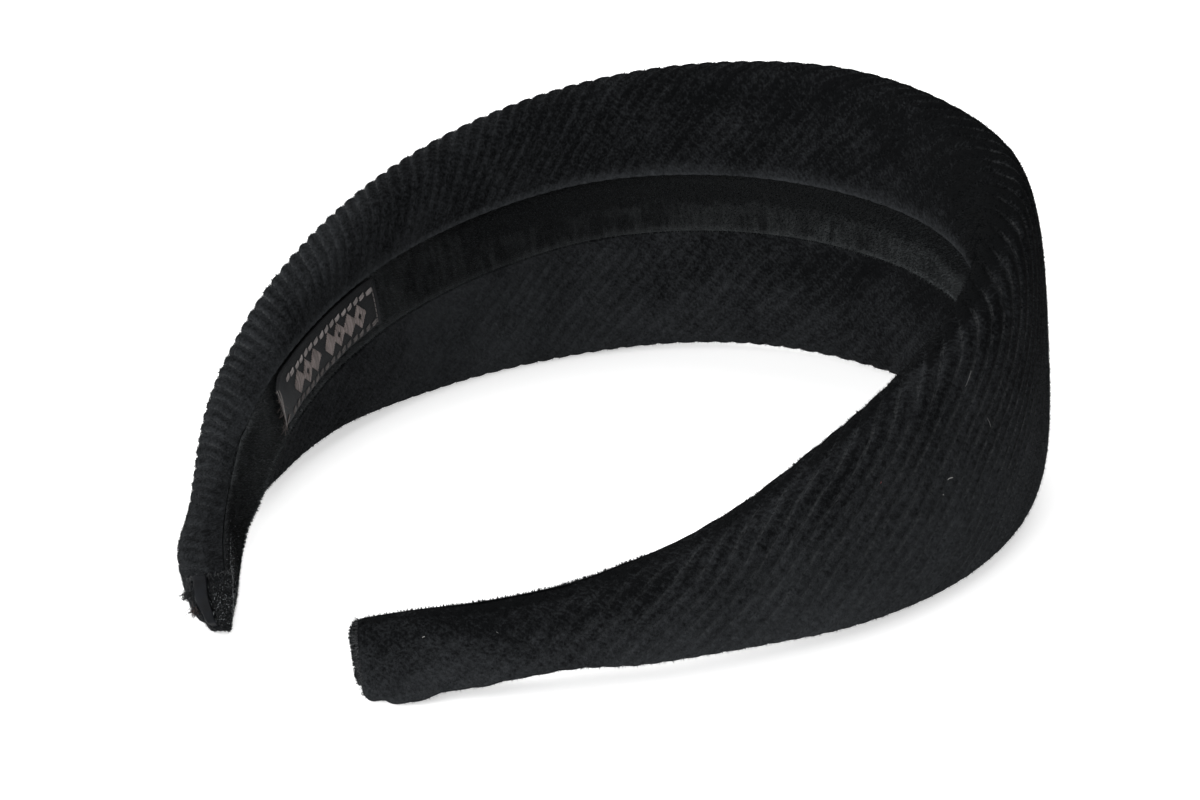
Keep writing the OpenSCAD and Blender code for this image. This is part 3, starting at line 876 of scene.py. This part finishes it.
label_section = strip_section(17)
label_along = np.r_[np.linspace(0, 4, 9), np.linspace(5, LABEL_LENGTH, 38)]
label_tape = skin("label_tape", np.array([
    on_label(s, (label_section[:, 0] - 0.5) * LABEL_HEIGHT, (label_section[:, 1] - 1) * LABEL_TAPE)
    for s in label_along]))
keep_on(label_tape.data, "tape", tape_measure_of(label_section, LABEL_HEIGHT, label_along))
SATIN_DARK, SATIN_LIGHT = (0.0030, 0.0032, 0.0036, 1), (0.0120, 0.0125, 0.0136, 1)
satin, tree = new_finish("label_satin", 0.6, 0.02, (0.8, 0.9, 1, 1), 0.12)
across_wire, along_wire, top_wire = tree.parts(tree.attribute("tape", "Vector"))
picks = abs((along_wire / 0.32).fract() - 0.5) * 2
ends = across_wire / 0.24 + (along_wire / 0.64).fract().rise(0.45, 0.55) * 0.5
ends = abs(ends.fract() - 0.5) * 2
weave = picks * 0.6 + ends * 0.4
label_spots = tree.noise(tree.vector(across_wire, along_wire, top_wire), 0.8, 2)
tree.feed("Base Color", tree.mix(weave * 0.6 + label_spots * 0.7 - 0.25, SATIN_DARK, SATIN_LIGHT))
tree.feed("Roughness", 0.45 + ends * 0.25)
tree.feed("Normal", tree.bump(weave, 0.6, 0.0001))
label_tape.data.materials.append(satin)

# Threads are drawn as lines, each point with its half thickness in metres and its tone,
# and a modifier makes them round
thread_group, tree, inlet, size = worked("threads", ["Thickness"])
thick_wire = size["Thickness"] * tree.on_points("thick")
line = tree.node("GeometryNodeMeshToCurve", {}, {"Mesh": inlet})
round_line = tree.node("GeometryNodeCurvePrimitiveCircle", {}, {"Resolution": 5, "Radius": 1.0})
solid = tree.node("GeometryNodeCurveToMesh", {}, {
    "Curve": line, "Profile Curve": round_line, "Scale": thick_wire, "Fill Caps": True})
thread_finish, shading = new_finish("thread", 0.6, 0.1, (1, 1, 1, 1), 0.2)
tree.give(solid, thread_finish)
fluff = shading.noise(shading.object_at(), 2500, 2)
shading.feed("Base Color", shading.scaled(shading.attribute("tone", "Vector"), 0.6 + fluff * 0.8))
shading.feed("Roughness", 0.5 + fluff * 0.3)


def threads(name, lines):
    """A piece made of threads: (points in metres, half thickness in mm, tone) each."""
    mesh = bpy.data.meshes.new(name + "_lines")
    edges, thick, tones, start = [], [], [], 0
    for points, radius, tint in lines:
        edges += [(start + i, start + i + 1) for i in range(len(points) - 1)]
        taper = np.sin(np.linspace(0.5, math.pi - 0.5, len(points))) ** 0.5
        thick.append(radius * 0.001 * taper)
        tones.append(np.broadcast_to(tint, (len(points), 3)))
        start += len(points)
    mesh.from_pydata(np.concatenate([line[0] for line in lines]).tolist(), edges, [])
    keep_on(mesh, "thick", np.concatenate(thick))
    keep_on(mesh, "tone", np.concatenate(tones))
    drawn = in_scene(name + "_lines", mesh)
    piece = made_by(thread_group, drawn, {"Thickness": 1.0}, name)
    bpy.data.objects.remove(drawn)
    piece.data.shade_smooth()
    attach(piece, "root")
    return piece


def fibre(start, aim, long, droop=0.5, steps=6):
    """A bent fibre from a point along aim times long, all in metres."""
    side = np.cross(aim, rng.normal(size=3))
    u = np.linspace(0, 1, steps)[:, None]
    return start + long * (aim * u + droop * side * (u ** 2) * 0.5)


DASH, PINK = np.array((0.205, 0.186, 0.181)), np.array((0.166, 0.139, 0.132))
DASH_ROWS = (2.4, 1.0, 1.35), (-3.35, 0.45, 1.15)
LOZENGES = (9.1, 0), (12.5, 1), (15.9, 0), (21.1, 0), (24.4, 1), (27.7, 0), (30.9, 1)


def stitch(along, across, radius, tint, arch=0.10):
    """A thread over the label that rises between its two ends."""
    u = np.linspace(0, 1, len(across))
    return on_label(along, across, 0.02 + arch * np.sin(u * math.pi)), radius, tint


stitches, u = [], np.linspace(0, 1, 6)
for row, bright, long in DASH_ROWS:
    for k in range(16):
        begin = 5.0 + k * 1.93 + rng.uniform(-0.12, 0.12)
        for n in range(3):
            across = row + (n - 1) * 0.22 + (u - 0.5) * 0.35 + rng.uniform(-0.03, 0.03)
            radius = 0.18 if k == 15 and bright == 1 else 0.13
            stitches.append(stitch(begin + u * long, across, radius,
                                   DASH * bright * rng.uniform(0.7, 1.15)))
for k in range(7):
    across = 2.8 - k * 0.95 - np.linspace(0, 0.75, 5)
    stitches.append(stitch(35.4, across, 0.09, DASH * 0.4 * rng.uniform(0.7, 1.2), 0.06))
for centre, hollow in LOZENGES:
    for n in range(-6, 7):
        reach = 2.1 * (1 - abs(n) / 7.4)
        gap_half = 0.6 * (1 - abs(n) / 2.2) if hollow and abs(n) < 3 else 0
        spans = [(-reach, reach)] if not gap_half else [(-reach, -gap_half), (gap_half, reach)]
        for low_end, high_end in spans:
            along = centre + n * 0.27 + rng.uniform(-0.03, 0.03)
            stitches.append(stitch(along, low_end - 0.3 + (high_end - low_end) * u, 0.145,
                                   PINK * rng.uniform(0.6, 1.15)))
label_stitching = threads("label_stitching", stitches)

# The raw end: the last weft threads hang loose across it, and the cut warp ends stand out
loose, u = [], np.linspace(0, 1, 9)
for n, (near, far) in enumerate(((-0.4, 0.25), (0.3, 0.2), (-0.5, 0.1), (0.15, -0.35))):
    across = 4.0 + (1.0 - u) * 0.5 * (n % 2 == 0) - u * (8.3 - 0.4 * n)
    along = near + (far - near) * u + 0.12 * np.sin(u * 9 + n * 2)
    loose.append((on_label(along, across, 0.05 + 0.07 * n), 0.075, DASH * rng.uniform(0.45, 0.8)))
for n in range(3):
    along, across = 2.9 - u * (2.7 - n * 0.2), -2.7 - u * (1.5 - n * 0.25)
    loose.append((on_label(along, across, 0.08 + 0.05 * n), 0.08, PINK * rng.uniform(0.5, 0.9)))
for n in range(46):
    across = rng.uniform(-4, 4) if n < 26 else rng.uniform(-4.2, -3.2)
    at = on_label(0.1, across, rng.uniform(-0.3, 0.05))
    beyond = on_label(-1.0, across + rng.uniform(-0.5, 0.4), rng.uniform(-0.1, 0.5))
    tint = PINK * rng.uniform(0.2, 0.75)
    loose.append((fibre(at, beyond - on_label(0, across), rng.uniform(0.5, 1.5)), 0.035, tint))
label_loose_threads = threads("label_loose_threads", loose)
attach(label_tape, "root")
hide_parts("woven_label")


# The cover's cut edges: at the tips the corduroy was cut and not hemmed, so its threads
# stand out there in a short fringe, and two longer tufts hang from the far tip.
def past_tip(side, out, up, past):
    return place(np.full(np.shape(out), float(side)), out, up, past)


TUFTS = (3.3, 2.6, 1.2, 0), (2.9, -0.2, 1.5, 1)
PILE, BROWN = np.array(PILE_LIGHT[:3]), np.array((0.10, 0.055, 0.045))
frayed = []
for side, count in ((-1, 520), (1, 260)):
    for n in range(count):
        across = rng.uniform(-5.2, 5.2)
        if n % 3 == 0:
            out, across = rng.uniform(-3.2, 3.2), rng.choice((-1, 1)) * rng.uniform(4.9, 5.4)
        else:
            out = rng.uniform(2.6, 3.3)
        out_way = 0.9 if n % 3 else 0.1
        start = past_tip(side, out, across, -0.5)
        if start[2] < 0.0010:
            continue
        aim = (past_tip(side, out + out_way * rng.uniform(-0.2, 1), across + rng.normal() * 0.4,
                        rng.uniform(0.1, 0.9)) - start)
        aim[2] = max(aim[2], -0.3 * start[2])
        frayed.append((fibre(start, aim / np.linalg.norm(aim), 0.001 * rng.uniform(0.35, 0.95),
                             0.7), 0.03, PILE * rng.uniform(0.2, 0.8)))
for out, across, long, brown in TUFTS:
    tuft = past_tip(-1, out + 0.75 * long, across - 0.3, 0.35 * long)
    for n in range(130):
        start = past_tip(-1, out + rng.uniform(-0.5, 0.3), across + rng.normal() * 0.55, -0.4)
        aim = tuft - start + rng.normal(size=3) * 0.00032
        shade = PILE * rng.uniform(0.2, 0.8)
        if brown and n % 5 == 0:
            shade = BROWN * rng.uniform(0.4, 1)
        frayed.append((fibre(start, aim, rng.uniform(0.55, 1.1), 0.35), 0.035, shade))
threads("frayed_edges", frayed)

# Dried glue: some came through the velvet where the ribbon is turned over the tips and stuck down.
# It lies there in small hard glossy specks that glint, thickest round the far tip's turn, and pale
# spots in their colour are a painted glint.
GLUE_SHADE, GLUE_PAINTED_GLINT = (0.007, 0.008, 0.010, 1), (0.25, 0.27, 0.28, 1)
ribbon_points = points_of(ribbon_mesh)
far_end, near_end = rings[0].mean(0), rings[-1].mean(0)
from_far = np.linalg.norm(ribbon_points - far_end, axis=1)
from_near = np.linalg.norm(ribbon_points - near_end, axis=1)
glued = 0.5 * np.exp(-(from_far / 0.0135) ** 4) + 0.25 * np.exp(-(from_near / 0.005) ** 2)
glued += 0.8 * np.exp(-(from_far / 0.0055) ** 4)
glued *= tape_measure[..., 2].ravel() > 0.9
glued *= np.clip((tape_measure[..., 0].ravel() - 0.5) / 1.5, 0.08, 1)
keep_on(ribbon_mesh, "glue", glued)
group, tree, inlet, size = worked("glue_specks", ["Specks per square metre", "Speck size", "Seed"])
spots = tree.node("GeometryNodeDistributePointsOnFaces", {}, {
    "Mesh": inlet, "Density": tree.on_points("glue") * size["Specks per square metre"],
    "Seed": size["Seed"]})
lift = tree.scaled(tree.other(spots, "Normal"), 0.00042)
lifted = tree.node("GeometryNodeSetPosition", {}, {"Geometry": spots, "Offset": lift})
drop = tree.node("GeometryNodeMeshIcoSphere", {}, {"Radius": 0.5, "Subdivisions": 1})
grown = tree.random((0.25, 0.25, 0.25), (1.25, 1.0, 1.0), size["Seed"])
turned = tree.random((-3, -3, -3), (3, 3, 3), size["Seed"])
scattered = tree.node("GeometryNodeInstanceOnPoints", {}, {
    "Points": lifted, "Instance": drop, "Scale": tree.scaled(grown, size["Speck size"]),
    "Rotation": tree.node("FunctionNodeEulerToRotation", {}, {0: turned})})
glue, shading = new_finish("dried_glue", 0.15, specular=0.6)
tree.give(scattered, glue)
haze = shading.noise(shading.object_at(), 1800, 2)
# Painted glint: pale spots in the specks' colour
shading.feed("Base Color", shading.mix(haze.rise(0.48, 0.64), GLUE_SHADE, GLUE_PAINTED_GLINT))
shading.feed("Roughness", 0.08 + haze * 0.3)
glue_specks = made_by(group, velvet_ribbon, {
    "Specks per square metre": 1.15e7, "Speck size": 0.00012, "Seed": 3}, "glue_specks")
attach(glue_specks, "root")

# A few lint fibres have caught in the pile: the place along the band and up it in
# millimetres, the length and the tint. Each lies on the nearest point of the cover.
PALE, FAINT, RED = (0.30, 0.30, 0.29), (0.13, 0.13, 0.13), (0.14, 0.03, 0.03)
LINT = [(97.7, 4.2, 0.55, PALE), (99.0, 2.6, 0.5, PALE), (110.3, 9.2, 0.4, RED),
        (90.9, 15.5, 2.2, FAINT), (86.9, 6.2, 2.4, FAINT), (179.6, 4.4, 0.45, PALE),
        (169.7, 4.6, 0.4, FAINT), (60.0, -9.0, 0.6, FAINT), (38.0, 6.0, 0.5, FAINT)]
cover_points, cover_normals = points_of(cover_mesh), points_of(cover_mesh, "normal")
lint = []
for s_mm, up_mm, long, tint in LINT:
    share = s_mm / HALF_LENGTH
    guess = place(share, half_thick(share), up_mm)
    nearest = np.argmin(((cover_points - guess) ** 2).sum(1))
    normal = cover_normals[nearest]
    aim = np.cross(normal, rng.normal(size=3))
    lint.append((fibre(cover_points[nearest] + normal * 0.00018, aim / np.linalg.norm(aim),
                       long * 0.001, 0.9, 8), 0.05 if tint != FAINT else 0.03, tint))
threads("lint", lint)

# The setting: a plain pale floor, three soft lights in a white surround, and the camera at
# the photograph's angle.
FLOOR_GLOW, SURROUND_GLOW = 0.55, 0.4
LIGHTS = (("key", (0.0, -0.95, 0.4), 0.8, 13), ("fill", (-0.8, -0.1, 0.5), 0.8, 4),
          ("top", (-0.1, 0.35, 1.0), 0.8, 5))
CAMERA_AT, FOCAL_LENGTH = (0.384923, -0.457248, 0.270903), 123.21
CAMERA_DOWN, CAMERA_ROUND = 22.872, 40.24
floor_mesh = bpy.data.meshes.new("floor")
floor_mesh.from_pydata([(-3, -3, 0), (3, -3, 0), (3, 3, 0), (-3, 3, 0)], [], [(0, 1, 2, 3)])
floor = in_scene("floor", floor_mesh)
pale, tree = new_finish("pale_floor", 0.9)
tree.shader.inputs["Base Color"].default_value = (0.9, 0.9, 0.9, 1)
tree.shader.inputs["Emission Color"].default_value = (1, 1, 1, 1)
tree.shader.inputs["Emission Strength"].default_value = FLOOR_GLOW
floor_mesh.materials.append(pale)

world = bpy.data.worlds.new("studio")
bpy.context.scene.world = world
world.use_nodes = True
world.node_tree.nodes["Background"].inputs["Color"].default_value = (1, 1, 1, 1)
world.node_tree.nodes["Background"].inputs["Strength"].default_value = SURROUND_GLOW
for name, at, wide, power in LIGHTS:
    lamp = bpy.data.lights.new(name, "AREA")
    lamp.size, lamp.energy = wide, power
    light = in_scene(name, lamp)
    light.location = at
    light.rotation_euler = (Vector((0, 0, 0.02)) - Vector(at)).to_track_quat("-Z", "Y").to_euler()

lens = bpy.data.cameras.new("camera")
lens.sensor_width, lens.lens = 36, FOCAL_LENGTH
lens.clip_start, lens.clip_end = 0.05, 20
camera = in_scene("camera", lens)
camera.location = CAMERA_AT
camera.rotation_euler = (math.radians(90 - CAMERA_DOWN), 0, math.radians(CAMERA_ROUND))
bpy.context.scene.camera = camera
bpy.context.scene.view_settings.view_transform = "Standard"
